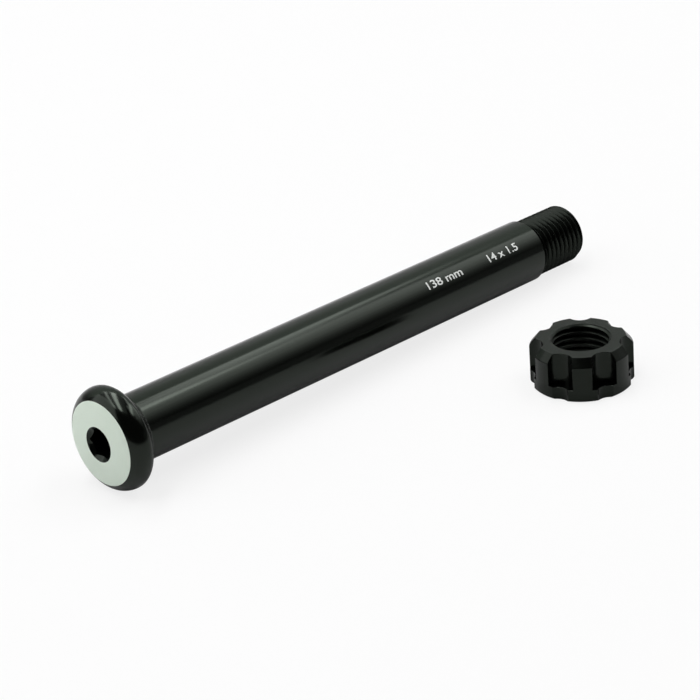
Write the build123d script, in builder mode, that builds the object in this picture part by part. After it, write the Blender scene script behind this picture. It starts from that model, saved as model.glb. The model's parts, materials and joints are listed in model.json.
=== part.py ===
from build123d import *
import os
from math import atan2, cos, degrees, radians, sin, sqrt, tan

# A bicycle thru axle and the fluted nut that screws on its end, in millimetres.
# The axle lies as it comes to rest on a table, on the rim of its head and the end of its shaft.
# The nut has been taken off and stands on the same table, beside the axle.
# The origin is on the axle's axis, where the seat cone of the head meets the shaft.
# X runs along the table from the head to the thread, and Z is up.

# Shaft and thread
SHAFT_DIA = 15.0
AXLE_LENGTH = 138.0  # from the end of the seat cone to the tip
THREAD_STEP = 0.5  # from the shaft down to the crests of the thread, on the radius
THREAD_LENGTH = 15.0
THREAD_PITCH = 1.5
SHAFT_EDGE = 0.2  # broken edge where the shaft steps down to the thread
TIP_CHAMFER = 0.9

# Head
SEAT_WIDTH = 4.15  # from the shaft out to the widest ring, on the radius
SEAT_ANGLE = 53.0  # slope of the seat cone from the axis, in degrees
NECK_FILLET = 0.8
RIM_ROUND = 1.9  # rounding from the seat cone to the widest ring
RIM_LENGTH = 3.6  # from the widest ring to the edge of the face
RIM_INSET = 2.25  # from the widest ring in to the edge of the face, on the radius
FACE_CROWN = 0.75  # height of the face's shallow dome

# Key socket in the face, and bore from the tip
KEY_SIZE = 6.0  # across the key's flats
KEY_CLEARANCE = 0.1
SOCKET_LEAD = 0.45  # countersink outside the corners of the hexagon, on the radius
SOCKET_DEPTH = 7.0
SOCKET_WEB = 3.0  # metal between the socket's floor and the point of the bore
BORE_WALL = 2.5  # metal between the crests of the thread and the bore
BORE_POINT = 59.0  # half angle of the drill's point, in degrees

# Nut
NUT_HEIGHT = 10.2
NUT_RIM = 4.5  # from the crests of the axle's thread out to the nut's side, on the radius
THREAD_CLEARANCE = 0.1  # room for the axle's thread in the nut, on the radius
MOUTH_LEAD = 0.45  # chamfer outside the nut's hole, on the radius
TOP_CONE_WIDTH = 1.55  # cone around the top face, on the radius
TOP_CONE_HEIGHT = 1.85
BASE_CHAMFER = 0.35
FLUTE_COUNT = 7
FLUTE_DIA = 6.0  # cutter of the flutes and the scallops
FLUTE_DEPTH = 2.84
FLUTE_FLOOR = 2.9  # height at which the flutes end
SCALLOP_DEPTH = 0.85

# Place of the nut on the table
NUT_ALONG = 92.2  # along the axle, from the end of the seat cone
NUT_GAP = 22.0  # between the sides of the head and the nut
NUT_TURN = -138.3  # direction of one lug, in degrees

# Depth of an inner metric thread, as a share of its pitch
INNER_THREAD_SHARE = 0.5413

# Radii and places along the axle
shaft_r = SHAFT_DIA / 2
thread_r = shaft_r - THREAD_STEP
bore_r = thread_r - BORE_WALL
head_r = shaft_r + SEAT_WIDTH
face_r = head_r - RIM_INSET
thread_start = AXLE_LENGTH - THREAD_LENGTH

# The rim's rounding turns by the seat angle before the straight cone runs down to the shaft
seat_slope = radians(SEAT_ANGLE)
cone_r = head_r - RIM_ROUND * (1 - cos(seat_slope))
seat_length = RIM_ROUND * sin(seat_slope) + (cone_r - shaft_r) / tan(seat_slope)
face_x = -seat_length - RIM_LENGTH
crown_top_x = face_x - FACE_CROWN
crown_radius = (face_r**2 + FACE_CROWN**2) / (2 * FACE_CROWN)


def crown_x(radius):
    """Place along the axle of the domed face at a radius."""
    return crown_top_x + crown_radius - sqrt(crown_radius**2 - radius**2)


socket_flats = KEY_SIZE + KEY_CLEARANCE
mouth_r = socket_flats / sqrt(3) + SOCKET_LEAD
mouth_x = crown_x(mouth_r)
bore_tip_x = crown_top_x + SOCKET_DEPTH + SOCKET_WEB
bore_full_x = bore_tip_x + bore_r / tan(radians(BORE_POINT))

# The axle tips about the head's rim until the shaft's end, or the thread's, meets the table
shaft_tilt = atan2(head_r - shaft_r, thread_start - SHAFT_EDGE + seat_length)
thread_tilt = atan2(head_r - thread_r, AXLE_LENGTH - TIP_CHAMFER + seat_length)
rest_tilt = min(shaft_tilt, thread_tilt)
table_z = seat_length * sin(rest_tilt) - head_r * cos(rest_tilt)

axle_line = Axis((0, 0, 0), (cos(rest_tilt), 0, -sin(rest_tilt)))
axle_section = Plane(origin=(0, 0, 0), x_dir=axle_line.direction, z_dir=(0, -1, 0))
socket_plane = Plane(
    origin=axle_line.direction * crown_top_x, x_dir=(0, 1, 0), z_dir=axle_line.direction
)


def profile_corner(along, radius):
    """Corner of the axle's profile, as it stands, that is nearest to a point of it."""
    return axle_profile.vertices().sort_by_distance((along, radius))[0]


# Axle: the turned body, then the hexagon of the key socket
with BuildPart() as axle:
    with BuildSketch(axle_section) as axle_profile:
        with BuildLine():
            lead = Line((mouth_x + mouth_r, 0), (mouth_x, mouth_r))
            half_way_r = (mouth_r + face_r) / 2
            crown = ThreePointArc(lead @ 1, (crown_x(half_way_r), half_way_r), (face_x, face_r))
            rim = TangentArc((-seat_length, head_r), crown @ 1, tangent=(-1, 0))
            turn = JernArc(rim @ 0, tangent=(1, 0), radius=RIM_ROUND, arc_size=-SEAT_ANGLE)
            Polyline(
                turn @ 1,
                (0, shaft_r),
                (thread_start, shaft_r),
                (thread_start, thread_r),
                (AXLE_LENGTH, thread_r),
                (AXLE_LENGTH, bore_r),
                (bore_full_x, bore_r),
                (bore_tip_x, 0),
                lead @ 0,
            )
        make_face()
        fillet(profile_corner(0, shaft_r), NECK_FILLET)
        chamfer(profile_corner(thread_start, shaft_r), SHAFT_EDGE)
        chamfer(profile_corner(AXLE_LENGTH, thread_r), TIP_CHAMFER)
    revolve(axis=axle_line)
    with BuildSketch(socket_plane):
        RegularPolygon(socket_flats / 2, 6, major_radius=False)
    extrude(amount=SOCKET_DEPTH, mode=Mode.SUBTRACT)

# Nut: the turned blank, then the deep flutes and the shallow scallops below them
nut_r = thread_r + NUT_RIM
hole_r = thread_r - INNER_THREAD_SHARE * THREAD_PITCH + THREAD_CLEARANCE
nut_mouth_r = hole_r + MOUTH_LEAD
nut_y = -(head_r + NUT_GAP + nut_r)
lug_direction = (cos(radians(NUT_TURN)), sin(radians(NUT_TURN)), 0)
nut_base = Plane(origin=(NUT_ALONG, nut_y, table_z), x_dir=lug_direction, z_dir=(0, 0, 1))
nut_section = Plane(origin=nut_base.origin, x_dir=lug_direction, z_dir=-nut_base.y_dir)
nut_line = Axis(nut_base.origin, nut_base.z_dir)
half_pitch = 180 / FLUTE_COUNT
cutter_r = FLUTE_DIA / 2

with BuildPart() as nut:
    with BuildSketch(nut_section):
        with BuildLine():
            Polyline(
                (hole_r, MOUTH_LEAD),
                (nut_mouth_r, 0),
                (nut_r - BASE_CHAMFER, 0),
                (nut_r, BASE_CHAMFER),
                (nut_r, NUT_HEIGHT - TOP_CONE_HEIGHT),
                (nut_r - TOP_CONE_WIDTH, NUT_HEIGHT),
                (nut_mouth_r, NUT_HEIGHT),
                (hole_r, NUT_HEIGHT - MOUTH_LEAD),
                close=True,
            )
        make_face()
    revolve(axis=nut_line)
    with BuildSketch(nut_base.offset(FLUTE_FLOOR)):
        with PolarLocations(nut_r - FLUTE_DEPTH + cutter_r, FLUTE_COUNT, start_angle=half_pitch):
            Circle(cutter_r)
    extrude(amount=NUT_HEIGHT - FLUTE_FLOOR, mode=Mode.SUBTRACT)
    with BuildSketch(nut_base):
        with PolarLocations(nut_r - SCALLOP_DEPTH + cutter_r, FLUTE_COUNT, start_angle=half_pitch):
            Circle(cutter_r)
    extrude(amount=NUT_HEIGHT, mode=Mode.SUBTRACT)

axle.part.label = "axle"
nut.part.label = "nut"

os.makedirs("parts", exist_ok=True)
export_step(axle.part, "parts/axle.step")
export_step(nut.part, "parts/nut.step")

print(f"rest tilt {degrees(rest_tilt):.3f} degrees, table at z = {table_z:.3f}")
print(f"head: radius {head_r:.3f}, seat length {seat_length:.3f}, face from x = {crown_top_x:.3f}")
print(f"nut: radius {nut_r:.3f}, hole radius {hole_r:.4f}, centre ({NUT_ALONG:.3f}, {nut_y:.3f})")
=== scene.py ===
# %% [markdown]
# # A bicycle thru axle and its fluted nut
#
# A thru axle joins a bicycle's wheel to its fork. It is turned from one aluminium bar: a domed head with
# a socket for a hexagon key, a cone that seats in the fork, a plain shaft that carries the hub, and a
# thread. The fluted nut screws on that thread, and here it has been taken off. Both are black anodised,
# and the face of the head is pale.
#
# The CAD frame gives the solids. This lesson builds a finer mesh for each of them: the threads get their
# turns, the edges are broken as a machinist breaks them, and each finish gets its own material.

# %% Load the frame
import json
from math import acos, asin, atan2, ceil, cos, degrees, pi, radians, sin, sqrt, tan

import bmesh
import bpy
from mathutils import Matrix, Vector


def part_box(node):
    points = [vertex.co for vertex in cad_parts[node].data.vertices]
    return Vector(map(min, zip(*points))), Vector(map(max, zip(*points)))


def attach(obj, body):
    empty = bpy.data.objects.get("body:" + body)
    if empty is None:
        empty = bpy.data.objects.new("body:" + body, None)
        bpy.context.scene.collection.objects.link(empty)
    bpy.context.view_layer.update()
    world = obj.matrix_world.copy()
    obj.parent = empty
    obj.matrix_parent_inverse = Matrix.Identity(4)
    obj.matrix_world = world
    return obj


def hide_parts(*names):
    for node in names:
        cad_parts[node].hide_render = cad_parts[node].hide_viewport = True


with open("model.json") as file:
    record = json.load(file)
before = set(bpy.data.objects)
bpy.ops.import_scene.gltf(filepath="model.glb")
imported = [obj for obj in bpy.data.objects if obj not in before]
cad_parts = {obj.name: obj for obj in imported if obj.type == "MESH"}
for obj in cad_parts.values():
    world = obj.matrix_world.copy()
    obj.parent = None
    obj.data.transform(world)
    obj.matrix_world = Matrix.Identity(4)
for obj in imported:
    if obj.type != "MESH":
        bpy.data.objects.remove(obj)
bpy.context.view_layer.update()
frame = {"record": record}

# %% [markdown]
# ## Sizes that come from the frame
#
# The record names the places where the part meets others: its shaft, its threads and its socket. Their
# radii and places are read from there, so a new pack moves the meshes with it. Each piece is drawn in
# millimetres on its own axis, along Z, and one matrix shrinks it to metres and lays it where the CAD node
# lies.

# %% Read the mounts and lay out the two axes
MM = 0.001
TIP_CHAMFER = 0.9

mounts = {mount["name"]: mount for mount in frame["record"]["mounts"]}
shaft_mount, tip_mount, nut_mount = mounts["shaft"], mounts["tip_thread"], mounts["nut_thread"]
axle_axis = Vector(shaft_mount["axis"]).normalized()


def along_axle(mount):
    """Place of a mount along the axle, in millimetres from the end of the seat cone."""
    return Vector(mount["pos_m"]).dot(axle_axis) / MM


shaft_r = shaft_mount["dims"]["r_mm"]
thread_r = tip_mount["dims"]["r_mm"]
thread_start = along_axle(tip_mount) - tip_mount["dims"]["length_mm"] / 2
tip = along_axle(tip_mount) + tip_mount["dims"]["length_mm"] / 2 + TIP_CHAMFER
crown_top = along_axle(mounts["key_socket"])

axle_up = Vector((-axle_axis.z, 0, axle_axis.x))
axle_side = axle_axis.cross(axle_up)
axle_turn = Matrix((axle_up, axle_side, axle_axis)).transposed()
axle_place = axle_turn.to_4x4() @ Matrix.Scale(MM, 4)

nut_low, nut_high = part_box("nut")
nut_r = (nut_high.x - nut_low.x) / 2 / MM
nut_height = (nut_high.z - nut_low.z) / MM
nut_hole_r = nut_mount["dims"]["r_mm"]
nut_centre = Vector((nut_mount["pos_m"][0], nut_mount["pos_m"][1], nut_low.z))
table_z = nut_low.z
print(f"axle: shaft radius {shaft_r}, head from {crown_top:.2f} mm along")
print(f"axle thread: radius {thread_r}, from {thread_start:.2f} to {tip:.2f} mm along")
print(f"nut: radius {nut_r:.2f}, height {nut_height:.2f}, hole radius {nut_hole_r} mm")

# %% [markdown]
# ## Building node trees
#
# Materials and Geometry Nodes are both trees of nodes. They could be drawn by hand in the node editor,
# but a tree that a script builds can be read and changed line by line. A few helpers keep that short: one
# adds a node and fills its inputs with values or links, others do arithmetic, map ranges and mix colours.

# %% Helpers for node trees
def fill(tree, node, inputs):
    """Sets or links the inputs of a node, by name or by number."""
    for key, value in inputs.items():
        if isinstance(value, bpy.types.NodeSocket):
            tree.links.new(value, node.inputs[key])
        else:
            node.inputs[key].default_value = value


def add(tree, kind, inputs=None, **settings):
    """Adds a node, applies its settings and fills its inputs."""
    node = tree.nodes.new(kind)
    for name, value in settings.items():
        setattr(node, name, value)
    fill(tree, node, inputs or {})
    return node


def calc(tree, operation, *values):
    """Adds one step of arithmetic and gives its result."""
    return add(tree, "ShaderNodeMath", dict(enumerate(values)), operation=operation).outputs[0]


def remap(tree, value, from_low, from_high, to_low, to_high):
    """Maps a value from one range to another, held within the second."""
    ends = {"From Min": from_low, "From Max": from_high, "To Min": to_low, "To Max": to_high}
    return add(tree, "ShaderNodeMapRange", {"Value": value, **ends}).outputs[0]


def blend(tree, factor, first, second):
    """Mixes two colours and gives the result."""
    node = add(tree, "ShaderNodeMix", {"Factor": factor, 6: first, 7: second}, data_type="RGBA")
    return node.outputs[2]


print("node helpers ready")

# %% [markdown]
# ## Running a Geometry Nodes tree
#
# A tree works as a modifier, and its named inputs are set by the identifiers of their sockets. A Bevel
# modifier may follow it and break the edges that the tree has marked. The result is made into a plain
# mesh, which can be joined to other meshes.

# %% Helpers for Geometry Nodes
def geometry_tree(name, inputs):
    """A Geometry Nodes tree with named inputs, and its group input node."""
    tree = bpy.data.node_groups.new(name, "GeometryNodeTree")
    for label, kind in inputs.items():
        tree.interface.new_socket(label, in_out="INPUT", socket_type="NodeSocket" + kind)
    tree.interface.new_socket("Mesh", in_out="OUTPUT", socket_type="NodeSocketGeometry")
    return tree, add(tree, "NodeGroupInput")


def new_object(name, data):
    """A new object in the scene."""
    made = bpy.data.objects.new(name, data)
    bpy.context.scene.collection.objects.link(made)
    return made


def plain_mesh(holder):
    """Makes the evaluated shape of an object into a plain mesh, and removes the object."""
    depsgraph = bpy.context.evaluated_depsgraph_get()
    mesh = bpy.data.meshes.new_from_object(holder.evaluated_get(depsgraph), depsgraph=depsgraph)
    bpy.data.objects.remove(holder)
    return mesh


def run_tree(tree, name, sizes, mesh=None, edge_break=0.0):
    """Runs a tree on a mesh with its inputs set, breaks the edges that it marks, and gives a plain mesh."""
    holder = new_object(name, mesh or bpy.data.meshes.new(name))
    modifier = holder.modifiers.new(name, "NODES")
    modifier.node_group = tree
    for socket in tree.interface.items_tree:
        if socket.in_out == "INPUT" and socket.name in sizes:
            modifier[socket.identifier] = sizes[socket.name]
    if edge_break:
        bevel = holder.modifiers.new("broken edges", "BEVEL")
        bevel.width = edge_break
        bevel.segments = 1
        bevel.limit_method = "WEIGHT"
    made = plain_mesh(holder)
    # The finishes are given later, so every face starts with the first
    for face in made.polygons:
        face.material_index = 0
    return made


print("tree helpers ready")

# %% [markdown]
# ## Marks of the lathe
#
# A lathe leaves fine rings on all that it turns. Pictures of rings would have to be laid on unwrapped
# meshes, so a noise draws them instead: it changes only along the axis and outwards from it. Object
# coordinates, turned onto the piece's own axis by a Mapping node, keep the rings in place from every
# side.

# %% Helpers for finishes
RING_MIX = 0.618  # share of the distance from the axis, so that rings show on faces and on sides
MOST_NOISE = (0.3, 0.7)  # range in which most values of a noise lie


def new_material(name):
    """A material with its tree and its Principled shader."""
    material = bpy.data.materials.new(name)
    material.use_nodes = True
    tree = material.node_tree
    shader = next(node for node in tree.nodes if node.type == "BSDF_PRINCIPLED")
    return material, tree, shader


def own_axes(tree, turn, centre):
    """Object coordinates on a piece's own axis, in metres, and the distance from that axis."""
    coordinates = add(tree, "ShaderNodeTexCoord").outputs["Object"]
    placing = {"Vector": coordinates, "Location": centre, "Rotation": turn.to_euler()}
    own = add(tree, "ShaderNodeMapping", placing, vector_type="TEXTURE").outputs[0]
    flat = add(tree, "ShaderNodeVectorMath", {0: own, 1: (1, 1, 0)}, operation="MULTIPLY").outputs[0]
    distance = add(tree, "ShaderNodeVectorMath", {0: flat}, operation="LENGTH").outputs["Value"]
    along = add(tree, "ShaderNodeSeparateXYZ", {0: own}).outputs["Z"]
    return own, along, distance


def turned_rings(tree, along, distance, rings_per_metre):
    """The rings of the lathe: a noise along the axis and outwards from it."""
    place = calc(tree, "MULTIPLY_ADD", distance, RING_MIX, along)
    inputs = {"W": place, "Scale": rings_per_metre, "Detail": 2.0}
    return add(tree, "ShaderNodeTexNoise", inputs, noise_dimensions="1D").outputs[0]


def noise(tree, place, per_metre, detail=2.0):
    """A noise in space, with so many features per metre."""
    inputs = {"Vector": place, "Scale": per_metre, "Detail": detail}
    return add(tree, "ShaderNodeTexNoise", inputs).outputs[0]


print("finish helpers ready")

# %% [markdown]
# ## Black anodise
#
# Black anodise is a dyed oxide that has grown on the aluminium. Light meets it as it meets glass, so the
# shader is not metallic: nearly black, with a clear reflection on top. The lathe's rings are its bump,
# and a slow noise makes the dye and the gloss a little uneven. A thread is cut with a torn edge and not a
# smooth sweep, so its black is less glossy. The nut shines a little less than the axle, so its clear
# layer has a lower index of refraction.

# %% Make the black finish for each piece
RINGS, CLOUD, GRAIN = 3500.0, 160.0, 9000.0  # features per metre: rings, slow and fine noise
CLOUD_DETAIL, GRAIN_DETAIL = 3.0, 1.0
RING_RELIEF = 0.0000012  # height of the rings, in metres
GRAIN_RELIEF = 0.35  # height of the grain, as a share of the rings'
DYE = ((0.0005, 0.0006, 0.0005, 1), (0.0012, 0.0014, 0.0012, 1))  # darkest and palest
SHINE_TINT = (0.86, 1.0, 0.85, 1)
TURNED = (1.38, 0.13, 0.19)  # index of refraction, and the smoothest and roughest places
THREADED = (1.38, 0.20, 0.28)
MILLED = (1.32, 0.17, 0.23)
TAPPED = (1.32, 0.28, 0.36)


def black_anodise(name, turn, centre, clear, smoothest, roughest):
    """Dyed anodised aluminium, from its clear layer's index of refraction and its range of roughness."""
    material, tree, shader = new_material(name)
    own, along, distance = own_axes(tree, turn, centre)
    rings = turned_rings(tree, along, distance, RINGS)
    cloud = noise(tree, own, CLOUD, CLOUD_DETAIL)
    grain = noise(tree, own, GRAIN, GRAIN_DETAIL)
    mean = calc(tree, "MULTIPLY", calc(tree, "ADD", cloud, grain), 0.5)
    relief = calc(tree, "MULTIPLY_ADD", grain, GRAIN_RELIEF, rings)
    bump = add(tree, "ShaderNodeBump", {"Strength": 1.0, "Distance": RING_RELIEF, "Height": relief})
    fill(tree, shader, {
        "Base Color": blend(tree, cloud, *DYE),
        "Roughness": remap(tree, mean, *MOST_NOISE, smoothest, roughest),
        "Normal": bump.outputs[0], "IOR": clear, "Specular Tint": SHINE_TINT,
    })
    return material


nut_turn = Matrix.Identity(3)
axle_black = black_anodise("black_anodised_axle", axle_turn, (0, 0, 0), *TURNED)
axle_thread_black = black_anodise("black_anodised_axle_thread", axle_turn, (0, 0, 0), *THREADED)
nut_black = black_anodise("black_anodised_nut", nut_turn, nut_centre, *MILLED)
nut_thread_black = black_anodise("black_anodised_nut_thread", nut_turn, nut_centre, *TAPPED)
print("finishes:", axle_black.name, axle_thread_black.name, nut_black.name, nut_thread_black.name)

# %% [markdown]
# ## The pale face
#
# The face of the head is cut clean after the dyeing, and sealed matt, so it is a pale grey with a trace
# of green. The lathe's rings are about as fine as on the shaft. Here they tint the colour a little as
# well as the relief, because they hold the light differently.

# %% Make the finish of the face
FACE_RINGS, FACE_CLOUD = 6000.0, 220.0  # features per metre
FACE_RELIEF = 0.000002  # height of the rings, in metres
FACE_TINTS = ((0.66, 0.76, 0.655, 1), (0.77, 0.87, 0.765, 1))  # darkest and palest
FACE_RING_SHARE = 0.4  # of the rings in the tint
FACE_ROUGHNESS = (0.42, 0.55)
FACE_INDEX = 1.45  # of refraction


def pale_face(name, turn, centre):
    """A faced and sealed aluminium surface, matt and pale."""
    material, tree, shader = new_material(name)
    own, along, distance = own_axes(tree, turn, centre)
    rings = turned_rings(tree, along, distance, FACE_RINGS)
    cloud = noise(tree, own, FACE_CLOUD)
    ring_part = calc(tree, "MULTIPLY", rings, FACE_RING_SHARE)
    shade = calc(tree, "MULTIPLY_ADD", cloud, 1 - FACE_RING_SHARE, ring_part)
    bump = add(tree, "ShaderNodeBump", {"Strength": 1.0, "Distance": FACE_RELIEF, "Height": rings})
    fill(tree, shader, {
        "Base Color": blend(tree, shade, *FACE_TINTS),
        "Roughness": remap(tree, rings, *MOST_NOISE, *FACE_ROUGHNESS),
        "Normal": bump.outputs[0], "IOR": FACE_INDEX,
    })
    return material


face_pale = pale_face("pale_face", axle_turn, (0, 0, 0))
print("finish:", face_pale.name)

# %% [markdown]
# ## The form of a thread
#
# A thread is one groove that winds round and round, so it is a rule and not a drawing. The distance from
# a crest, as a share of the pitch, gives the radius: the crest's up to its edge, the root's from its own
# edge on, and a straight flank between them. The rows of the mesh are shifted so that one falls on each
# of those edges, which lets a crest be much narrower than a row.
#
# Both ends close on a plain circle. Near an end the radius may leave that circle only at a set slope,
# which makes the chamfer of the tip, the run-out at the shoulder and the lead of the nut from one rule.

# %% Helpers for the thread tree
def crest_distance(tree, size, row):
    """How far each row lies from the nearest crest, in pitches, and the shift that takes it there."""
    side = calc(tree, "SUBTRACT", calc(tree, "FRACT", row), 0.5)
    rows_off = calc(tree, "MULTIPLY", calc(tree, "ABSOLUTE", side), size["Rows per Turn"])
    last = calc(tree, "MULTIPLY", size["Rows per Turn"], 0.5)
    before_last = calc(tree, "SUBTRACT", last, 1)
    flank = calc(tree, "SUBTRACT", size["Root Edge"], size["Crest Edge"])
    root = calc(tree, "SUBTRACT", 0.5, size["Root Edge"])
    on_crest = remap(tree, rows_off, 0, 1, 0, size["Crest Edge"])
    on_flank = remap(tree, rows_off, 1, before_last, 0, flank)
    on_root = remap(tree, rows_off, before_last, last, 0, root)
    from_crest = calc(tree, "ADD", calc(tree, "ADD", on_crest, on_flank), on_root)
    shift = calc(tree, "SUBTRACT", calc(tree, "MULTIPLY", calc(tree, "SIGN", side), from_crest), side)
    return from_crest, shift


def hold_ends(tree, size, along, radius):
    """Lets the radius leave the circle of each end only at that end's slope."""
    to_end = calc(tree, "SUBTRACT", size["Length"], along)
    for end, distance in (("Start", along), ("End", to_end)):
        reach = calc(tree, "MULTIPLY", distance, size[end + " Slope"])
        low = calc(tree, "SUBTRACT", size[end + " Radius"], reach)
        high = calc(tree, "ADD", size[end + " Radius"], reach)
        radius = add(tree, "ShaderNodeClamp", {"Value": radius, "Min": low, "Max": high}).outputs[0]
    return radius


print("thread helpers ready")

# %% [markdown]
# ## Screw threads with Geometry Nodes
#
# The tree bends a flat grid into a tube and sets its radius. Each row of the grid climbs by one pitch for
# each turn, so rows follow the crests and the groove stays crisp, where a tube with level rows would show
# steps.

# %% Build the thread tree
WELD = 0.002  # points of a tree's mesh closer than this merge, in millimetres


def thread_tree():
    """The tree of a screw thread: a grid with climbing rows, bent into a tube of varying radius."""
    tree, sizes = geometry_tree("screw thread", {
        "Length": "Float", "Pitch": "Float", "Crest Radius": "Float", "Root Radius": "Float",
        "Crest Edge": "Float", "Root Edge": "Float",
        "Start Radius": "Float", "Start Slope": "Float", "End Radius": "Float", "End Slope": "Float",
        "Turns": "Int", "Rows per Turn": "Int", "Columns": "Int", "Finish": "Material",
    })
    size = sizes.outputs
    rows = calc(tree, "MULTIPLY_ADD", size["Turns"], size["Rows per Turn"], 1)
    columns = calc(tree, "ADD", size["Columns"], 1)
    grid = add(tree, "GeometryNodeMeshGrid", {"Vertices X": rows, "Vertices Y": columns})
    flat = add(tree, "ShaderNodeSeparateXYZ", {0: add(tree, "GeometryNodeInputPosition").outputs[0]})
    turn = calc(tree, "ADD", flat.outputs["Y"], 0.5)
    row = calc(tree, "MULTIPLY_ADD", calc(tree, "ADD", flat.outputs["X"], 0.5), size["Turns"], -1)

    from_crest, shift = crest_distance(tree, size, row)
    climbed = calc(tree, "MULTIPLY", calc(tree, "ADD", calc(tree, "ADD", row, turn), shift), size["Pitch"])
    along = add(tree, "ShaderNodeClamp", {"Value": climbed, "Min": 0.0, "Max": size["Length"]}).outputs[0]
    edges = (size["Root Edge"], size["Crest Edge"])
    radius = remap(tree, from_crest, *edges, size["Root Radius"], size["Crest Radius"])
    radius = hold_ends(tree, size, along, radius)

    angle = calc(tree, "MULTIPLY", turn, 2 * pi)
    x = calc(tree, "MULTIPLY", radius, calc(tree, "COSINE", angle))
    y = calc(tree, "MULTIPLY", radius, calc(tree, "SINE", angle))
    place = add(tree, "ShaderNodeCombineXYZ", {"X": x, "Y": y, "Z": along}).outputs[0]
    bent = add(tree, "GeometryNodeSetPosition", {"Geometry": grid.outputs["Mesh"], "Position": place})
    welded = add(tree, "GeometryNodeMergeByDistance", {"Geometry": bent.outputs[0], "Distance": WELD})
    real = add(tree, "GeometryNodeRealizeInstances", {"Geometry": welded.outputs[0]})
    done = add(tree, "GeometryNodeSetMaterial", {"Geometry": real.outputs[0], "Material": size["Finish"]})
    add(tree, "NodeGroupOutput", {"Mesh": done.outputs[0]})
    return tree


screw_thread = thread_tree()
print("thread tree:", len(screw_thread.nodes), "nodes")

# %% [markdown]
# ## Turning a body
#
# The body of the axle is a lathe part, so it is drawn as one half of its section and turned about its
# axis. Spin could do that, but rings of points made in a loop also let a ring change its radius as it
# goes round, which the hexagon needs. Straight stretches get a ring close to each end, so that smooth
# shading stays on the curves and doesn't bleed.

# %% Helpers for turned meshes
COLUMNS = 192  # round the axle: a multiple of six, for the corners of the hexagon
SUPPORT = 0.25  # from a corner to the ring that holds the shading, in millimetres
SUPPORT_LIMIT = 0.3  # and no more than this share of the stretch


def arc(centre, radius, start, end, steps):
    """Points (along, radius) of an arc in the section. Angles are in degrees from the axle's direction."""
    angles = [radians(start + (end - start) * step / steps) for step in range(steps + 1)]
    return [(centre[0] + radius * cos(angle), centre[1] + radius * sin(angle)) for angle in angles]


def straight(first, last):
    """Points of a straight stretch, with a ring close to each end."""
    length = sqrt((last[0] - first[0]) ** 2 + (last[1] - first[1]) ** 2)
    share = min(SUPPORT / length, SUPPORT_LIMIT)
    return [
        tuple(a + (b - a) * part for a, b in zip(first, last))
        for part in (0, share, 1 - share, 1)
    ]


def add_ring(body, along, radius):
    """Adds one ring of points. Both sizes may be numbers, or functions of the angle."""
    ring = []
    for column in range(COLUMNS):
        angle = 2 * pi * column / COLUMNS
        here = radius(angle) if callable(radius) else radius
        height = along(angle) if callable(along) else along
        ring.append(body.verts.new((here * cos(angle), here * sin(angle), height)))
    return ring


def join_rings(body, first, second, finish=0):
    """Joins two rings with a band of four-sided faces."""
    for here in range(len(first)):
        there = (here + 1) % len(first)
        band = body.faces.new((first[here], first[there], second[there], second[here]))
        band.material_index = finish


def join_to_point(body, ring, along):
    """Closes a ring with a fan of faces round a point on the axis."""
    middle = body.verts.new((0, 0, along))
    for here in range(len(ring)):
        body.faces.new((ring[here], ring[(here + 1) % len(ring)], middle))


def turn_profile(body, profile, finish=0):
    """Turns a list of (along, radius) points and gives the first and the last ring."""
    rings = [add_ring(body, *point) for point in profile]
    for first, second in zip(rings, rings[1:]):
        join_rings(body, first, second, finish)
    return rings[0], rings[-1]


print("columns round the axle:", COLUMNS)

# %% [markdown]
# ## The section of the axle
#
# The section follows the way the head is turned: a shallow dome for the face, one large round for the
# rim, a smaller round behind it, the cone that seats in the fork, a fillet at the neck, and the plain
# shaft down to the thread. Its sizes are those of the solid.

# %% Draw the section of the axle
SEAT_WIDTH = 4.15  # from the shaft out to the widest ring, on the radius
SEAT_ANGLE = 53.0  # slope of the seat cone from the axis, in degrees
NECK_FILLET = 0.8
RIM_ROUND = 1.9  # rounding from the seat cone to the widest ring
RIM_LENGTH = 3.6  # from the widest ring to the edge of the face
RIM_INSET = 2.25  # from the widest ring in to the edge of the face, on the radius
FACE_CROWN = 0.75  # height of the face's shallow dome
FACE_EDGE = 0.08  # broken edge round the face
SHAFT_EDGE = 0.2  # broken edge where the shaft steps down to the thread
SOCKET_FLATS = 6.1  # across the flats of the key's socket
SOCKET_LEAD = 0.45  # countersink outside the corners of the hexagon, on the radius
FACE_STEPS, RIM_STEPS, ROUND_STEPS, NECK_STEPS = 24, 32, 20, 12

head_r = shaft_r + SEAT_WIDTH
face_r = head_r - RIM_INSET
seat_slope = radians(SEAT_ANGLE)
cone_r = head_r - RIM_ROUND * (1 - cos(seat_slope))
seat_length = RIM_ROUND * sin(seat_slope) + (cone_r - shaft_r) / tan(seat_slope)
rim_r = (RIM_LENGTH ** 2 + RIM_INSET ** 2) / (2 * RIM_INSET)
rim_turn = degrees(asin(RIM_LENGTH / rim_r))
edge_turn = degrees(FACE_EDGE / rim_r)
crown_r = (face_r ** 2 + FACE_CROWN ** 2) / (2 * FACE_CROWN)
crown_centre = (crown_top + crown_r, 0)
mouth_r = SOCKET_FLATS / sqrt(3) + SOCKET_LEAD
mouth_turn = 180 - degrees(asin(mouth_r / crown_r))
face_turn = 180 - degrees(asin((face_r - FACE_EDGE) / crown_r))
neck_end = NECK_FILLET * tan(seat_slope / 2)

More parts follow.
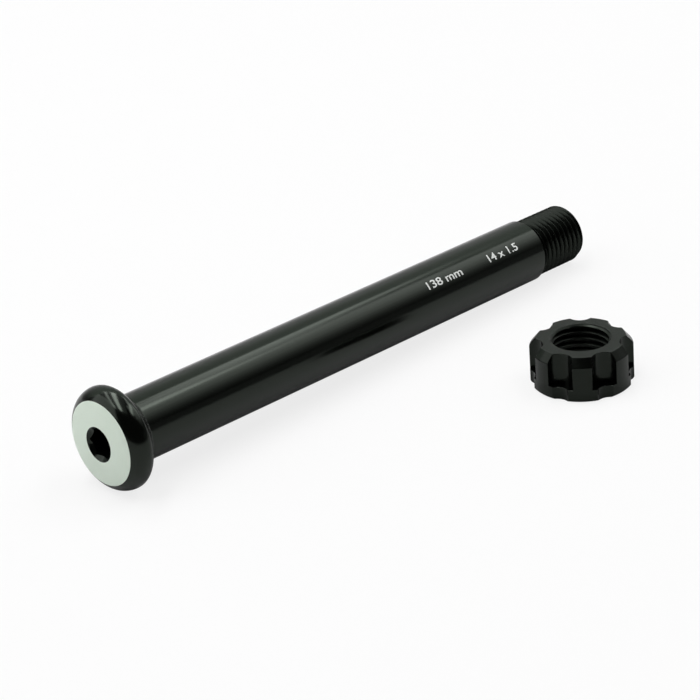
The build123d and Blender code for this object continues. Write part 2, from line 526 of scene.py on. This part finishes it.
face_arc = arc(crown_centre, crown_r, mouth_turn, face_turn, FACE_STEPS)
rim_centre = (-seat_length, head_r - rim_r)
rim_arc = arc(rim_centre, rim_r, 90 + rim_turn - edge_turn, 90, RIM_STEPS)
round_centre = (-seat_length, head_r - RIM_ROUND)
round_arc = arc(round_centre, RIM_ROUND, 90, 90 - SEAT_ANGLE, ROUND_STEPS)
neck_centre = (neck_end, shaft_r + NECK_FILLET)
neck_arc = arc(neck_centre, NECK_FILLET, -90 - SEAT_ANGLE, -90, NECK_STEPS)
shaft_end = (thread_start - SHAFT_EDGE, shaft_r)
outside = rim_arc + round_arc[1:] + straight(round_arc[-1], neck_arc[0])[1:] + neck_arc[1:]
outside += straight(neck_arc[-1], shaft_end)[1:]
outside += [(thread_start, shaft_r - SHAFT_EDGE), (thread_start, thread_r)]
print(f"head: radius {head_r:.2f}, face radius {face_r:.2f}, seat length {seat_length:.3f} mm")

# %% [markdown]
# ## The head and its key socket
#
# The section is turned, and the face gets its own finish. The key's socket is a countersink that runs
# into a hexagon. Where they meet, the seam dips along each flat, because the cone goes on until it finds
# the wall, so that ring follows a formula and isn't level.

# %% Turn the head and sink the socket
SOCKET_DEPTH = 7.0

mouth = crown_centre[0] - sqrt(crown_r ** 2 - mouth_r ** 2)


def hexagon_r(angle):
    """Radius of the socket's wall at an angle, with corners at 30 degrees and every 60 from there."""
    from_flat = (angle + pi / 6) % (pi / 3) - pi / 6
    return SOCKET_FLATS / 2 / cos(from_flat)


def seam(angle):
    """Place along the axle where the countersink meets the wall of the hexagon."""
    return mouth + mouth_r - hexagon_r(angle)


body = bmesh.new()
mouth_ring, face_ring = turn_profile(body, face_arc, finish=1)
rim_ring = turn_profile(body, outside)[0]
join_rings(body, face_ring, rim_ring, finish=1)
seam_ring = add_ring(body, seam, hexagon_r)
floor_ring = add_ring(body, crown_top + SOCKET_DEPTH, hexagon_r)
join_rings(body, mouth_ring, seam_ring)
join_rings(body, seam_ring, floor_ring)
join_to_point(body, floor_ring, crown_top + SOCKET_DEPTH)
print(f"socket: mouth radius {mouth_r:.2f} mm")

# %% [markdown]
# ## The tip and its bore
#
# Axles are drilled from the threaded end to save weight, and the drill leaves a cone at the bottom. The
# thread itself comes from the tree: its crests stand at the radius that the frame states, it fades out at
# the shoulder of the shaft, and the chamfer at the tip cuts it down to a plain circle, which the end of
# the bore meets.

# %% Turn the bore and add the axle's thread
SOCKET_WEB = 3.0  # metal between the socket's floor and the point of the bore
BORE_WALL = 2.5  # metal between the crests of the thread and the bore
BORE_POINT = 59.0  # half angle of the drill's point, in degrees
BORE_EDGE = 0.15
PITCH = 1.5
ROWS_PER_TURN = 16
SPARE_TURNS = 2  # the rows climb, so the grid is a turn longer at each end
RUN_OUT_SLOPE = 0.6
CHAMFER_SLOPE = 1.0  # of the tip and of the nut's mouths
CREST_EDGE = 1 / 64  # half the width of a crest, as a share of the pitch
ROOT_EDGE = 3 / 8  # from the middle of a crest to the edge of the root, as a share of the pitch

bore_r = thread_r - BORE_WALL
bore_tip = crown_top + SOCKET_DEPTH + SOCKET_WEB
bore_full = bore_tip + bore_r / tan(radians(BORE_POINT))
tip_r = thread_r - TIP_CHAMFER
end_face = straight((tip, tip_r), (tip, bore_r + BORE_EDGE))
bore_side = straight((tip - BORE_EDGE, bore_r), (bore_full, bore_r))
bore_ring = turn_profile(body, end_face + bore_side)[1]
join_to_point(body, bore_ring, bore_tip)

thread_length = tip - thread_start
axle_thread = run_tree(screw_thread, "axle_thread", {
    "Length": thread_length, "Pitch": PITCH, "Crest Radius": thread_r, "Root Radius": tip_r,
    "Crest Edge": CREST_EDGE, "Root Edge": ROOT_EDGE,
    "Start Radius": thread_r, "Start Slope": RUN_OUT_SLOPE,
    "End Radius": tip_r, "End Slope": CHAMFER_SLOPE,
    "Turns": ceil(thread_length / PITCH) + SPARE_TURNS, "Rows per Turn": ROWS_PER_TURN,
    "Columns": COLUMNS, "Finish": axle_thread_black,
})
axle_thread.transform(Matrix.Translation((0, 0, thread_start)))
print("axle thread:", len(axle_thread.polygons), "faces,", thread_length / PITCH, "turns")

# %% [markdown]
# ## Closing a piece
#
# The turned body and its thread share a circle at each end, so joining them and merging the points that
# coincide closes the mesh. Then the normals are turned outwards, the mesh is moved to its place in the
# frame, and smooth shading is kept to faces that meet at a shallow angle.

# %% Close the axle and hand it to the frame
SMOOTH_BELOW = radians(16)
JOIN = 0.003  # points of a body and its thread closer than this merge, in millimetres


def close_mesh(name, body):
    """Makes a bmesh into a mesh and frees it."""
    mesh = bpy.data.meshes.new(name)
    body.to_mesh(mesh)
    body.free()
    return mesh


def finish_piece(name, body, thread, place, finishes, node):
    """Welds a body to its thread, which has the last finish, and lets it stand for a CAD node."""
    for face in thread.polygons:
        face.material_index = len(finishes) - 1
    body.from_mesh(thread)
    bmesh.ops.remove_doubles(body, verts=body.verts, dist=JOIN)
    bmesh.ops.recalc_face_normals(body, faces=body.faces)
    open_edges = sum(not edge.is_manifold for edge in body.edges)
    volume = body.calc_volume(signed=True)
    mesh = close_mesh(name, body)
    mesh.transform(place)
    for finish in finishes:
        mesh.materials.append(finish)
    mesh.shade_smooth()
    mesh.set_sharp_from_angle(angle=SMOOTH_BELOW)
    piece = new_object(name, mesh)
    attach(piece, "root")
    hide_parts(node)
    triangles = sum(len(face.vertices) - 2 for face in mesh.polygons)
    print(f"{name}: {triangles} triangles, {open_edges} open edges, {volume:.0f} cubic mm")


axle_finishes = [axle_black, face_pale, axle_thread_black]
finish_piece("thru_axle", body, axle_thread, axle_place, axle_finishes, "axle")

# %% [markdown]
# ## The nut from above
#
# The nut is turned, and then a round cutter mills seven deep flutes into its upper part and seven shallow
# scallops down its whole side. Cutting it with Boolean operations would work, but it leaves long thin
# faces that spoil the bevels. One seventh is enough to draw, from the middle of a lug to the middle of
# the next. At each height its plan is a few arcs, always with the same number of points.

# %% Helpers for the plans of the nut
FLUTE_COUNT = 7
CUTTER_R = 3.0
MOUTH_LEAD = 0.45  # chamfer outside the nut's hole, on the radius
LUG_STEPS, SIDE_STEPS, CUT_STEPS = 6, 4, 12

half_pitch = pi / FLUTE_COUNT
nut_mouth_r = nut_hole_r + MOUTH_LEAD


def cut_edge(centre, limit):
    """Where a cutter's circle crosses a circle about the nut's axis: angles at the cutter and the nut."""
    at_cutter = acos((centre ** 2 + CUTTER_R ** 2 - limit ** 2) / (2 * centre * CUTTER_R))
    return at_cutter, atan2(CUTTER_R * sin(at_cutter), centre - CUTTER_R * cos(at_cutter))


def spread(first, last, steps):
    """Evenly spread values, without the last."""
    return [first + (last - first) * step / steps for step in range(steps)]


def plan(limit, centre, lug_edge=None):
    """Plan of one seventh at one height, from lug to lug, where the turned radius is limit."""
    at_cutter, at_nut = cut_edge(centre, limit)
    side_steps = SIDE_STEPS if lug_edge else 0
    half = [(limit, angle) for angle in spread(half_pitch, lug_edge or at_nut, LUG_STEPS)]
    half += [(limit, angle) for angle in spread(lug_edge or at_nut, at_nut, side_steps)]
    points = [(radius * cos(angle), radius * sin(angle)) for radius, angle in half]
    for angle in spread(at_cutter, 0, CUT_STEPS - side_steps):
        points.append((centre - CUTTER_R * cos(angle), CUTTER_R * sin(angle)))
    points.append((centre - CUTTER_R, 0))
    return points + [(x, -y) for x, y in reversed(points[:-1])]


def mouth_plan():
    """Points of the hole's mouth, as many as in the plans of the side."""
    steps = 2 * (LUG_STEPS + CUT_STEPS)
    angles = spread(half_pitch, -half_pitch, steps) + [-half_pitch]
    return [(nut_mouth_r * cos(angle), nut_mouth_r * sin(angle)) for angle in angles]


print("points in a plan:", len(mouth_plan()))

# %% [markdown]
# ## One seventh of the nut
#
# The plans are joined upwards: the flat base and its chamfer, the scallops, the floor of the flute, the
# cone round the top, and the mouth of the hole at both ends. The cone takes several plans, because the
# flute cuts it in a curve.

# %% Draw one seventh of the nut
FLUTE_DEPTH = 2.84
FLUTE_FLOOR = 2.9  # height at which the flutes end
SCALLOP_DEPTH = 0.85
TOP_CONE_WIDTH = 1.55  # on the radius
TOP_CONE_HEIGHT = 1.85
BASE_CHAMFER = 0.35
CONE_STEPS = 6
SECTOR_WELD = 0.001

flute_centre = nut_r - FLUTE_DEPTH + CUTTER_R
scallop_centre = nut_r - SCALLOP_DEPTH + CUTTER_R
lug_edge = cut_edge(flute_centre, nut_r)[1]
levels = [
    (0, mouth_plan()),
    (0, plan(nut_r - BASE_CHAMFER, scallop_centre, lug_edge)),
    (BASE_CHAMFER, plan(nut_r, scallop_centre, lug_edge)),
    (FLUTE_FLOOR, plan(nut_r, scallop_centre, lug_edge)),
    (FLUTE_FLOOR, plan(nut_r, flute_centre)),
]
for step in range(CONE_STEPS + 1):
    share = step / CONE_STEPS
    height = nut_height - TOP_CONE_HEIGHT * (1 - share)
    levels.append((height, plan(nut_r - TOP_CONE_WIDTH * share, flute_centre)))
levels.append((nut_height, mouth_plan()))

sector = bmesh.new()
rows = [[sector.verts.new((x, y, height)) for x, y in points] for height, points in levels]
for lower, upper in zip(rows, rows[1:]):
    for here in range(len(lower) - 1):
        sector.faces.new((lower[here], upper[here], upper[here + 1], lower[here + 1]))
bmesh.ops.remove_doubles(sector, verts=sector.verts, dist=SECTOR_WELD)
sector_mesh = close_mesh("nut_seventh", sector)
print("one seventh of the nut:", len(sector_mesh.polygons), "faces")

# %% [markdown]
# ## Repeating it round the axis
#
# The tree makes seven points on the axis, puts the seventh on each one with its own turn, makes the
# copies real and welds them where they meet. It also marks the sharp outer edges, and a Bevel modifier
# after it breaks those by less than a tenth of a millimetre, as the tumbling before the anodising does.
# The small edges catch the light.

# %% Build the tree that repeats and run it
SHARP = radians(25)  # outer edges that bend by more than this are broken
EDGE_BREAK = 0.06


def repeat_tree():
    """The tree that repeats a mesh round the Z axis, and marks its sharp outer edges for the bevel."""
    inputs = {"Seventh": "Geometry", "Count": "Int", "Finish": "Material"}
    tree, sizes = geometry_tree("repeat round axis", inputs)
    size = sizes.outputs
    points = add(tree, "GeometryNodePoints", {"Count": size["Count"]})
    step = calc(tree, "DIVIDE", 2 * pi, size["Count"])
    turn = calc(tree, "MULTIPLY", add(tree, "GeometryNodeInputIndex").outputs[0], step)
    rotation = add(tree, "ShaderNodeCombineXYZ", {"Z": turn}).outputs[0]
    placing = {"Points": points.outputs[0], "Instance": size["Seventh"], "Rotation": rotation}
    copies = add(tree, "GeometryNodeInstanceOnPoints", placing)
    real = add(tree, "GeometryNodeRealizeInstances", {"Geometry": copies.outputs[0]})
    welded = add(tree, "GeometryNodeMergeByDistance", {"Geometry": real.outputs[0], "Distance": WELD})
    bend = add(tree, "GeometryNodeInputMeshEdgeAngle").outputs["Signed Angle"]
    sharp = calc(tree, "GREATER_THAN", bend, SHARP)
    marking = {"Geometry": welded.outputs[0], "Name": "bevel_weight_edge", "Value": sharp}
    marked = add(tree, "GeometryNodeStoreNamedAttribute", marking, data_type="FLOAT", domain="EDGE")
    done = add(tree, "GeometryNodeSetMaterial", {"Geometry": marked.outputs[0], "Material": size["Finish"]})
    add(tree, "NodeGroupOutput", {"Mesh": done.outputs[0]})
    return tree


shell_sizes = {"Count": FLUTE_COUNT, "Finish": nut_black}
nut_shell = run_tree(repeat_tree(), "nut_shell", shell_sizes, sector_mesh, EDGE_BREAK)
print("shell of the nut:", len(nut_shell.polygons), "faces")

# %% [markdown]
# ## The nut's thread
#
# An inner thread is the same groove with its crests turned inwards, so the same tree makes it, with the
# crest's radius as the smaller one. It has as many columns as the mouth has points, and the two close
# into one piece.

# %% Thread the nut and hand it to the frame
NUT_TURN = -138.3  # direction of one lug, in degrees
THREAD_DEPTH = 0.8  # of the nut's thread, on the radius
INNER_CREST_EDGE = 1 / 8  # the crests of an inner thread are wider than its roots
INNER_ROOT_EDGE = 7 / 16
INNER_TURN = pi  # where the nut's thread begins, round its axis

nut_thread = run_tree(screw_thread, "nut_thread", {
    "Length": nut_height, "Pitch": PITCH,
    "Crest Radius": nut_hole_r, "Root Radius": nut_hole_r + THREAD_DEPTH,
    "Crest Edge": INNER_CREST_EDGE, "Root Edge": INNER_ROOT_EDGE,
    "Start Radius": nut_mouth_r, "Start Slope": CHAMFER_SLOPE,
    "End Radius": nut_mouth_r, "End Slope": CHAMFER_SLOPE,
    "Turns": ceil(nut_height / PITCH) + SPARE_TURNS, "Rows per Turn": ROWS_PER_TURN,
    "Columns": 2 * (LUG_STEPS + CUT_STEPS) * FLUTE_COUNT, "Finish": nut_thread_black,
})
nut_thread.transform(Matrix.Rotation(INNER_TURN, 4, "Z"))
nut_body = bmesh.new()
nut_body.from_mesh(nut_shell)
flute_turn = radians(NUT_TURN) + half_pitch
nut_place = Matrix.Translation(nut_centre) @ Matrix.Rotation(flute_turn, 4, "Z") @ Matrix.Scale(MM, 4)
finish_piece("fluted_nut", nut_body, nut_thread, nut_place, [nut_black, nut_thread_black], "nut")

# %% [markdown]
# ## White ink
#
# The print on the shaft is a thin opaque ink that doesn't cover quite evenly. A colour alone would look
# like plastic, so a fine noise varies its tone and its gloss.

# %% Make the ink
INK = ((0.62, 0.64, 0.62, 1), (0.82, 0.84, 0.82, 1))  # darkest and palest
INK_CLOUD = 3000.0  # features per metre
INK_ROUGHNESS = (0.4, 0.55)


def white_print(name):
    """A thin opaque white ink that is a little uneven."""
    material, tree, shader = new_material(name)
    coordinates = add(tree, "ShaderNodeTexCoord").outputs["Object"]
    cloud = noise(tree, coordinates, INK_CLOUD)
    fill(tree, shader, {
        "Base Color": blend(tree, cloud, *INK),
        "Roughness": remap(tree, cloud, *MOST_NOISE, *INK_ROUGHNESS),
    })
    return material


ink = white_print("white_print")
print("finish:", ink.name)

# %% [markdown]
# ## The printed sizes
#
# A size is printed on such axles: the length, and the thread with its pitch. Plain numbers are set in
# Blender's own font, made into thin solid letters, cut into narrow strips so that they can bend, and
# wrapped on the shaft. They sit half in the surface, so they stay on it from every side.

# %% Print the sizes on the shaft
PRINTS = {"138 mm": (85.0, 11.3), "14 x 1.5": (105.4, 9.9)}  # place along the shaft, and length
PRINT_HEIGHT = 2.0
PRINT_THICKNESS = 0.02
PRINT_STRIP = 0.2
PRINT_WEIGHT = 0.012  # thickening of the strokes, in heights of the font
PRINT_FOOT = 52.5  # angle of the foot of the letters round the shaft, in degrees from the top
PRINT_WELD = 0.00001  # in heights of the font


def letters(words):
    """Thin solid letters as a mesh, lying flat."""
    text = bpy.data.curves.new(words, "FONT")
    text.body = words
    text.extrude = PRINT_THICKNESS / 2
    text.offset = PRINT_WEIGHT
    return plain_mesh(new_object(words, text))


def wrap_print(prints, words, start, length):
    """Fits letters to their length and height, cuts them in strips, and wraps them on the shaft."""
    flat = bmesh.new()
    flat.from_mesh(letters(words))
    bmesh.ops.remove_doubles(flat, verts=flat.verts, dist=PRINT_WELD)
    low = Vector(min(vertex.co[axis] for vertex in flat.verts) for axis in range(3))
    high = Vector(max(vertex.co[axis] for vertex in flat.verts) for axis in range(3))
    wide, tall = length / (high.x - low.x), PRINT_HEIGHT / (high.y - low.y)
    for vertex in flat.verts:
        vertex.co.x = (vertex.co.x - low.x) * wide
        vertex.co.y = (vertex.co.y - low.y) * tall
    for strip in range(1, ceil(PRINT_HEIGHT / PRINT_STRIP)):
        everything = flat.verts[:] + flat.edges[:] + flat.faces[:]
        cut = Vector((0, strip * PRINT_STRIP, 0))
        bmesh.ops.bisect_plane(flat, geom=everything, plane_co=cut, plane_no=(0, 1, 0))
    for vertex in flat.verts:
        angle = radians(PRINT_FOOT) - vertex.co.y / shaft_r
        out = shaft_r + vertex.co.z
        vertex.co = (out * cos(angle), out * sin(angle), start + vertex.co.x)
    prints.from_mesh(close_mesh(words, flat))


prints = bmesh.new()
for words, (start, length) in PRINTS.items():
    wrap_print(prints, words, start, length)
bmesh.ops.recalc_face_normals(prints, faces=prints.faces)
print_mesh = close_mesh("size_print", prints)
print_mesh.transform(axle_place)
print_mesh.materials.append(ink)
size_print = new_object("size_print", print_mesh)
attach(size_print, "root")
print("printed sizes:", list(PRINTS), len(print_mesh.polygons), "faces")

# %% [markdown]
# ## White card
#
# The backdrop is matt card. It is a pale grey for the light that it throws on the object. The camera sees
# it as white card, and lifted further, but its shadow stays. Reflections see its upper part glow with a
# painted reflection that grows with height and is tinted green. A Light Path node tells these rays apart,
# which one plain white could not do.

# %% Make the finish of the backdrop
CARD = ((0.65, 0.65, 0.65, 1), (0.68, 0.68, 0.68, 1))  # darkest and palest
WHITE_CARD = ((0.72, 0.72, 0.72, 1), (0.74, 0.74, 0.74, 1))
CARD_GRAIN = 40.0  # features per metre
CARD_ROUGHNESS, CARD_SHINE = 0.9, 0.1
LIFT = 0.8  # towards white, as the camera sees it
# painted reflection: reflections see the card's upper part glow, growing between two heights, tinted green
PAINTED_REFLECTION_GLOW = 0.7  # as reflections see it, from a height on
PAINTED_GLOW_LOW, PAINTED_GLOW_HIGH = 0.25, 1.2  # heights between which that lift grows
PAINTED_REFLECTION_TINT = (0.88, 1.0, 0.88, 1)


def sweep_material(name):
    """White card, lifted towards white where the camera sees it, with a painted green glow that grows with
    height where a reflection sees it.
    """
    material, tree, shader = new_material(name)
    coordinates = add(tree, "ShaderNodeTexCoord").outputs["Object"]
    grain = noise(tree, coordinates, CARD_GRAIN)
    path = add(tree, "ShaderNodeLightPath").outputs
    seen = calc(tree, "MAXIMUM", path["Is Camera Ray"], path["Is Transmission Ray"])
    card = blend(tree, grain, *CARD)
    white_card = blend(tree, grain, *WHITE_CARD)
    fill(tree, shader, {
        "Base Color": blend(tree, seen, card, white_card),
        "Roughness": CARD_ROUGHNESS, "Specular IOR Level": CARD_SHINE,
    })
    # painted reflection: glossy rays see the card glow, more with height, and tinted green
    height = add(tree, "ShaderNodeSeparateXYZ", {0: coordinates}).outputs["Z"]
    painted_glow_by_height = remap(tree, height, PAINTED_GLOW_LOW, PAINTED_GLOW_HIGH, 0.0, PAINTED_REFLECTION_GLOW)
    painted_reflection = calc(tree, "MULTIPLY", path["Is Glossy Ray"], painted_glow_by_height)
    glow = blend(tree, path["Is Glossy Ray"], (1, 1, 1, 1), PAINTED_REFLECTION_TINT)
    white = add(tree, "ShaderNodeEmission", {"Color": glow, "Strength": 1.0})
    lifted = calc(tree, "MAXIMUM", calc(tree, "MULTIPLY", seen, LIFT), painted_reflection)
    mixed = add(tree, "ShaderNodeMixShader", {0: lifted, 1: shader.outputs[0], 2: white.outputs[0]})
    output = next(node for node in tree.nodes if node.type == "OUTPUT_MATERIAL")
    fill(tree, output, {"Surface": mixed.outputs[0]})
    return material


white_sweep = sweep_material("white_sweep")
print("finish:", white_sweep.name)

# %% [markdown]
# ## The table and the backdrop
#
# Small products are photographed on a white sweep: a sheet that lies flat and curves up behind. A dark,
# glossy round bar shows its surroundings, so the sweep matters as much as the lamps: it draws the soft
# light line along the top of the shaft, partly with the painted glow of its upper part. As stage, it isn't
# part of the object.

# %% Lay the sweep
SWEEP_HALF = 3.0
SWEEP_START = 0.9  # where the sheet begins to rise, behind the object
SWEEP_R = 0.5
SWEEP_TOP = 2.2
SWEEP_STEPS = 24
SWEEP_DIRECTION = 48.0  # direction in which the sheet rises, in degrees from +X

sweep_section = [(-SWEEP_HALF, 0.0), (SWEEP_START, 0.0)]
for step in range(1, SWEEP_STEPS + 1):
    angle = radians(90 * step / SWEEP_STEPS)
    sweep_section.append((SWEEP_START + SWEEP_R * sin(angle), SWEEP_R * (1 - cos(angle))))
sweep_section.append((SWEEP_START + SWEEP_R, SWEEP_TOP))
sides = (-SWEEP_HALF, SWEEP_HALF)
sweep_points = [(along, side, height) for along, height in sweep_section for side in sides]
sweep_faces = [(2 * n, 2 * n + 2, 2 * n + 3, 2 * n + 1) for n in range(len(sweep_section) - 1)]
sweep_mesh = bpy.data.meshes.new("sweep")
sweep_mesh.from_pydata(sweep_points, [], sweep_faces)
sweep_turn = Matrix.Rotation(radians(SWEEP_DIRECTION), 4, "Z")
sweep_mesh.transform(Matrix.Translation((0, 0, table_z)) @ sweep_turn)
sweep_mesh.shade_smooth()
sweep_mesh.materials.append(white_sweep)
sweep = new_object("sweep", sweep_mesh)
print("sweep at", round(table_z, 5))

# %% [markdown]
# ## Camera
#
# The camera stands where the photograph was taken from: high in front of the head, with a long lens. Its
# place comes from fitting the object's circles and the lines of the shaft to the photograph.

# %% Set the camera
PHOTO_SIDE = 700  # pixels
FOCAL_PIXELS = 2510.4
CAMERA_YAW, CAMERA_PITCH, CAMERA_ROLL = radians(-42.42), radians(26.513), radians(-4.688)
CAMERA_DISTANCE = 0.56318
CAMERA_TARGET = Vector((0.061026, -0.003742, table_z + 0.007))
CAMERA_CLIP = 0.01  # nothing nearer is seen, in metres

front = Vector((sin(CAMERA_YAW), -cos(CAMERA_YAW), 0))
backwards = front * cos(CAMERA_PITCH) + Vector((0, 0, sin(CAMERA_PITCH)))
level = Vector((cos(CAMERA_YAW), sin(CAMERA_YAW), 0))
upwards = backwards.cross(level)
camera_right = cos(CAMERA_ROLL) * level + sin(CAMERA_ROLL) * upwards
camera_up = cos(CAMERA_ROLL) * upwards - sin(CAMERA_ROLL) * level
camera_data = bpy.data.cameras.new("camera")
camera_data.sensor_fit = "HORIZONTAL"
camera_data.lens = FOCAL_PIXELS / PHOTO_SIDE * camera_data.sensor_width
camera_data.clip_start = CAMERA_CLIP
camera = new_object("camera", camera_data)
camera_turn = Matrix((camera_right, camera_up, backwards)).transposed().to_4x4()
camera.matrix_world = Matrix.Translation(CAMERA_TARGET + backwards * CAMERA_DISTANCE) @ camera_turn
bpy.context.scene.camera = camera
print(f"lens {camera_data.lens:.1f} mm")

# %% [markdown]
# ## Lamps
#
# Studio lamps for small things are flat sheets of light, so each one is a rectangular area lamp. A
# reflection shows the sheet itself, so a lamp's power follows from how bright its sheet should look. Most
# hang level in a bank over the table.

# %% Helpers for lamps
AIM = Vector((0.06, -0.01, 0.0))
BANK_HEIGHT = 1.15


def soft_box(name, place, aim, width, height, brightness, side=None):
    """A rectangular lamp that faces a point, its width along side. Brightness 1 is a white sheet's."""
    data = bpy.data.lights.new(name, "AREA")
    data.shape = "RECTANGLE"
    data.size, data.size_y = width, height
    data.energy = brightness * pi * width * height
    lamp = new_object(name, data)
    back = (Vector(place) - aim).normalized()
    across = Vector(side or (0, 1, 0)).cross(back).normalized()
    facing = Matrix((across.cross(back) * -1, across * -1, back)).transposed().to_4x4()
    lamp.matrix_world = Matrix.Translation(place) @ facing
    lamp.visible_camera = False
    return lamp


def hang(name, turn, near, far, right, left, brightness, drop=0.0):
    """Hangs one panel of the bank: its ends along a direction, its edges across it, and how far it hangs
    below the others, all in heights of the bank."""
    along = Vector((cos(turn), sin(turn), 0))
    across = Vector((-sin(turn), cos(turn), 0))
    below = AIM + (along * (near + far) / 2 + across * (right + left) / 2) * BANK_HEIGHT
    place = below + Vector((0, 0, BANK_HEIGHT * (1 - drop)))
    width, height = (far - near) * BANK_HEIGHT, (left - right) * BANK_HEIGHT
    return soft_box(name, place, below, width, height, brightness, along)


print("height of the bank:", BANK_HEIGHT)

# %% [markdown]
# ## Light
#
# A polished dark bar shows its lamps as bands, so they are laid out from the bands in the photograph. The
# tubes make the thin streaks on the rim of the head, with dim gaps between them. At the right a wide
# panel that fades outwards makes the soft light along the shaft, and two small pieces fill the corner
# between them. Lamps in one plane may not overlap, or a reflection would see only one of them, so the
# tube that crosses the panel hangs a little lower. A weak box at the left lights the pale face, and a
# faint card at the right keeps the shaft's dark band from going quite black.

# %% Hang the lamps
LEFT_PLACE = Vector((-0.80, 0.62, 0.62))
LEFT_SHEET = (1.1, 1.0, 1.5)  # width, height and brightness
RIGHT_PLACE, RIGHT_AIM = Vector((1.15, -1.25, 0.25)), AIM + Vector((0, 0, 0.1))
RIGHT_SHEET = (1.6, 0.4, 0.14)
RIGHT_ACROSS = (0.73, 0.68, 0)  # direction of its width
TUBE_TURN = radians(40)  # direction of the tubes, from the axle's
TUBE_NEAR, TUBE_FAR = -0.54, 0.67  # their ends
TUBES = {  # right edge, left edge and brightness
    "right_gap": (-0.20, 0.12, 0.4),
    "middle_tube": (0.12, 0.34, 8.0),
    "middle_gap": (0.34, 0.56, 0.4),
    "left_tube": (0.56, 0.72, 4.5),
    "left_gap": (0.72, 1.00, 0.4),
}
CORNER = {"corner_end": (0.66, 0.93, 0.16, 0.34), "corner": (0.58, 0.84, 0.0, 0.16)}  # ends and edges
CORNER_LIGHT = 3.4
RIGHT_TUBE = (-0.25, 0.46, -0.64, -0.44)  # ends and edges, along and across the other tubes
RIGHT_TUBE_LIGHT, RIGHT_TUBE_DROP = 4.3, 0.02  # out of the panel's plane
PANEL_ROWS = (0.0, -0.20, -0.43, -0.70, -1.00, -1.35, -1.80, -2.40)  # edges of its rows
PANEL_INNER, PANEL_NEAR = -0.35, -0.25  # its slanted edge across the tubes, its near end along them
PANEL_FAR, PANEL_LIGHT = 2.4, 2.3
PANEL_FADE, PANEL_POWER = 0.75, 3  # half its light is left so far across, and it falls with this power

lamps = [soft_box("left_box", LEFT_PLACE, AIM, *LEFT_SHEET)]
lamps.append(soft_box("right_card", RIGHT_PLACE, RIGHT_AIM, *RIGHT_SHEET, RIGHT_ACROSS))
for name, (right, left, brightness) in TUBES.items():
    lamps.append(hang(name, TUBE_TURN, TUBE_NEAR, TUBE_FAR, right, left, brightness))
for name, (near, far, right, left) in CORNER.items():
    lamps.append(hang(name, 0, near, far, right, left, CORNER_LIGHT))
lamps.append(hang("right_tube", TUBE_TURN, *RIGHT_TUBE, RIGHT_TUBE_LIGHT, RIGHT_TUBE_DROP))
for row, (left, right) in enumerate(zip(PANEL_ROWS, PANEL_ROWS[1:])):
    middle = (left + right) / 2
    slanted = (middle * cos(TUBE_TURN) - PANEL_INNER) / sin(TUBE_TURN)
    near = max(slanted, (PANEL_NEAR - middle * sin(TUBE_TURN)) / cos(TUBE_TURN))
    fade = 1 / (1 + abs(middle / PANEL_FADE) ** PANEL_POWER)
    lamps.append(hang(f"right_panel_{row}", 0, near, PANEL_FAR, right, left, PANEL_LIGHT * fade))
print("lamps:", [lamp.name for lamp in lamps])

# %% [markdown]
# ## The room
#
# A studio is dim but not black, so the world adds a little even light. The Standard view keeps the tones
# as the lamps make them, where a film-like curve would grey the white card.

# %% Set the room's light and the view
ROOM_LIGHT = 0.03

world = bpy.data.worlds.new("dim_room")
world.use_nodes = True
room = next(node for node in world.node_tree.nodes if node.type == "BACKGROUND")
fill(world.node_tree, room, {"Color": (1, 1, 1, 1), "Strength": ROOM_LIGHT})
bpy.context.scene.world = world
bpy.context.scene.view_settings.view_transform = "Standard"
print("world:", world.name)
